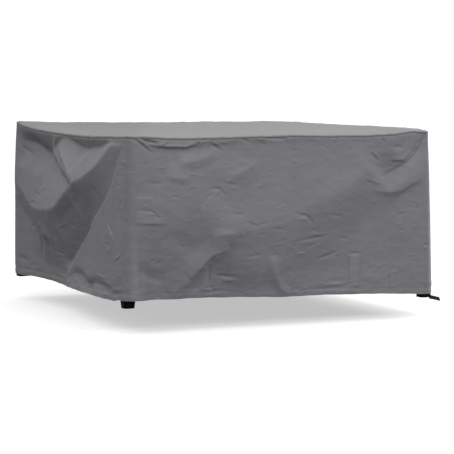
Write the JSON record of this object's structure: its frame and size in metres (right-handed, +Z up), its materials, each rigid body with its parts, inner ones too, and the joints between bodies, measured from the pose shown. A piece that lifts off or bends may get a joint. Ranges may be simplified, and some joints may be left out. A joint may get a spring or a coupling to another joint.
{
  "type": "patio furniture cover",
  "caption": "Square fitted cloth cover for patio furniture: a top panel, hanging walls with turned hems, and corner straps of webbing that close round the legs",
  "frame": {"origin": "middle of the top panel's underside, where the cover rests on the furniture", "axes": "+Z up, the front wall faces -Y, +X to the right of the front wall, where the strap's free end points"},
  "size_m": [1.639, 1.5631, 0.8084],
  "materials": {
    "cover_cloth_top": "matte coated woven polyester, dust-lightened on top",
    "cover_cloth_wall": "matte coated woven polyester",
    "strap_webbing": "matte woven webbing"
  },
  "bodies": {
    "root": {"top_panel": "cover_cloth_top", "front_wall": "cover_cloth_wall", "left_wall": "cover_cloth_wall", "back_wall": "cover_cloth_wall", "right_wall": "cover_cloth_wall", "front_left_strap": "strap_webbing", "front_right_strap": "strap_webbing", "back_left_strap": "strap_webbing", "back_right_strap": "strap_webbing"}
  },
  "joints": []
}
